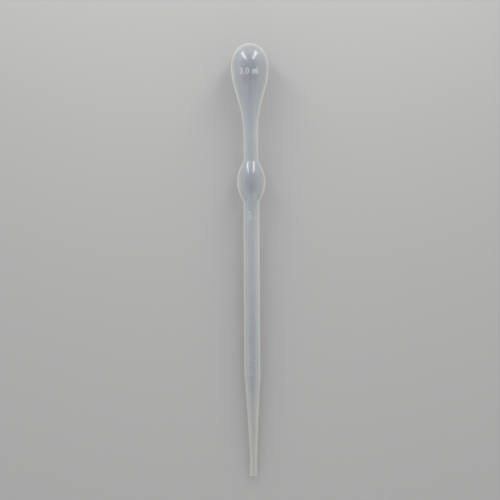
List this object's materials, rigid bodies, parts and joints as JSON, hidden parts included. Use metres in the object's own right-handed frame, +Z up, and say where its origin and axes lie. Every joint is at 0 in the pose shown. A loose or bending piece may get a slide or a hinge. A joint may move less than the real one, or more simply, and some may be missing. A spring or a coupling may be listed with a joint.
{
  "type": "plastic dropper pipette",
  "caption": "Long one-piece squeeze dropper: teardrop bulb, slim neck, small overflow bulb, graduated stem and a tapered open tip.",
  "frame": {"origin": "on the surface that the pipette lies on, under the middle of its bounding box", "axes": "+Z up; the pipette lies along Y with the squeeze bulb at +Y, the tip at -Y and the graduations facing up; its own axis dips 2.01 degrees from the bulb down to the tip"},
  "size_m": [0.0174, 0.1998, 0.0174],
  "materials": {
    "milky_plastic": "translucent milky low-density polyethylene, satin with soft gloss, paler where the wall is seen edge on"
  },
  "bodies": {
    "root": {"pipette": "milky_plastic"}
  },
  "joints": []
}
